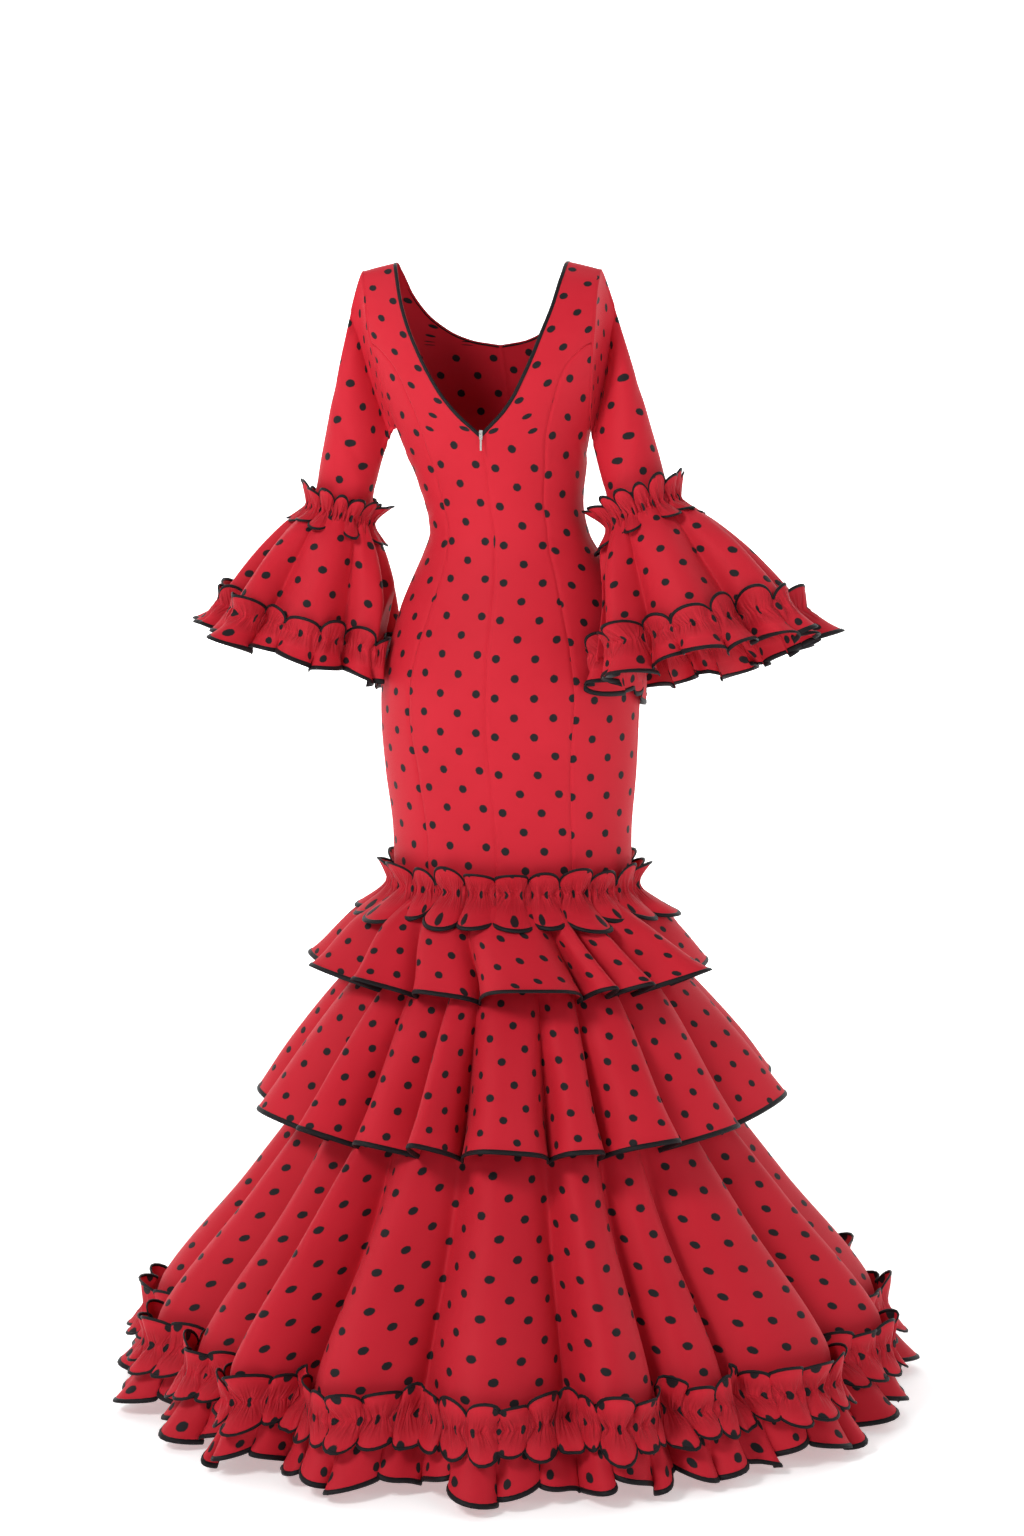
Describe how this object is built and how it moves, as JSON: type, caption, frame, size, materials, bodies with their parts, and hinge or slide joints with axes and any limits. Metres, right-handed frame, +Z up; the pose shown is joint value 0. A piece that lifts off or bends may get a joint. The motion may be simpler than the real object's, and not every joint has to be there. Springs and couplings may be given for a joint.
{
  "type": "flamenco dress",
  "caption": "Full-length fitted flamenco dress with a deep V back, elbow sleeves that end in ruffled bells, a gathered knee frill and tiered flounces, worn and hanging",
  "frame": {"origin": "on the wearer's own axis at the height of the shoulder seams, where the shoulders carry the dress", "axes": "+Z up the wearer, +Y out of the wearer's back, +X towards the wearer's left arm"},
  "size_m": [1.0586, 1.0568, 1.4752],
  "materials": {
    "red_cloth": "matte",
    "black_binding": "satin",
    "zip_metal": "polished"
  },
  "bodies": {
    "dress": {"back_left": "red_cloth", "back_right": "red_cloth", "bell_frill_binding_left": "black_binding", "bell_frill_binding_right": "black_binding", "bell_frill_left": "red_cloth", "bell_frill_right": "red_cloth", "bell_left": "red_cloth", "bell_right": "red_cloth", "elbow_ruche_left": "red_cloth", "elbow_ruche_right": "red_cloth", "front": "red_cloth", "hem_ruche": "red_cloth", "hem_ruffle": "red_cloth", "hem_ruffle_binding": "black_binding", "knee_ruffle": "red_cloth", "knee_ruffle_binding": "black_binding", "neck_binding_back_left": "black_binding", "neck_binding_back_right": "black_binding", "neck_binding_front": "black_binding", "side_back_left": "red_cloth", "side_back_right": "red_cloth", "side_front_left": "red_cloth", "side_front_right": "red_cloth", "skirt_base": "red_cloth", "sleeve_left": "red_cloth", "sleeve_right": "red_cloth", "tier_1": "red_cloth", "tier_1_binding": "black_binding", "tier_2": "red_cloth", "tier_2_binding": "black_binding", "tier_3": "red_cloth", "zip_slider": "zip_metal", "zip_tape": "red_cloth"},
    "pull_tab": {"zip_pull_tab": "zip_metal"}
  },
  "joints": [
    {"name": "pull_tab_hinge", "type": "hinge", "parent": "dress", "child": "pull_tab", "pos_m": [0.00047, 0.09953, -0.222], "axis": [1, 0, 0], "range_deg": [0, 150]}
  ]
}
